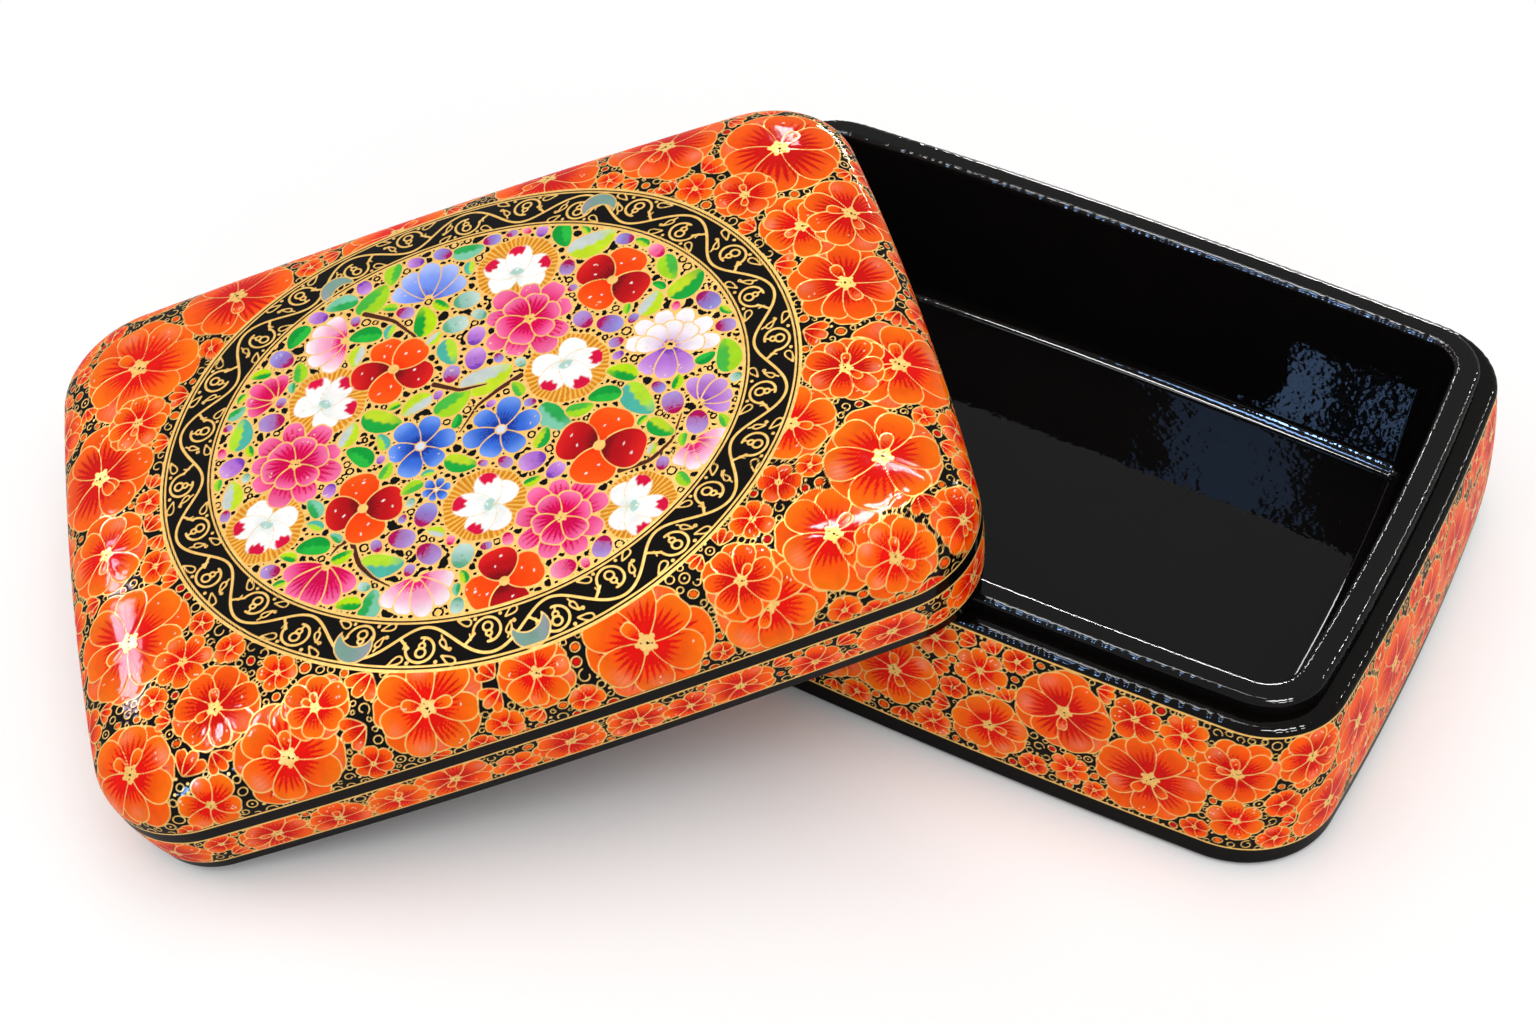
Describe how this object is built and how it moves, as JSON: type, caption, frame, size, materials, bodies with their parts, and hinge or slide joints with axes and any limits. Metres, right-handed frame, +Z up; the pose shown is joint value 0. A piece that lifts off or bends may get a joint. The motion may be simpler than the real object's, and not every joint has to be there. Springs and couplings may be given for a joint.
{
  "type": "papier mache trinket box",
  "caption": "Low rectangular papier mache box with bowed sides, rounded corners, a raised collar round the cavity and a domed lift-off lid leaning beside it.",
  "frame": {"origin": "middle of the flat underside of the base, on the table", "axes": "+X along the length of the base, +Y across it towards the back, +Z up"},
  "size_m": [0.2217, 0.1908, 0.0603],
  "materials": {
    "painted_lacquer": "orange and gold floral painting on a black ground under clear gloss lacquer",
    "black_lacquer": "plain black ground under clear gloss lacquer"
  },
  "bodies": {
    "base": {"base_wall": "painted_lacquer", "base_board": "black_lacquer", "base_lining": "black_lacquer", "base_floor": "black_lacquer"},
    "lid": {"lid_rim": "painted_lacquer", "lid_dome": "painted_lacquer"}
  },
  "joints": [
    {"name": "lid_lift", "type": "slide", "parent": "base", "child": "lid", "axis": [0, 0, 1], "range_m": [0, 0.1]}
  ]
}
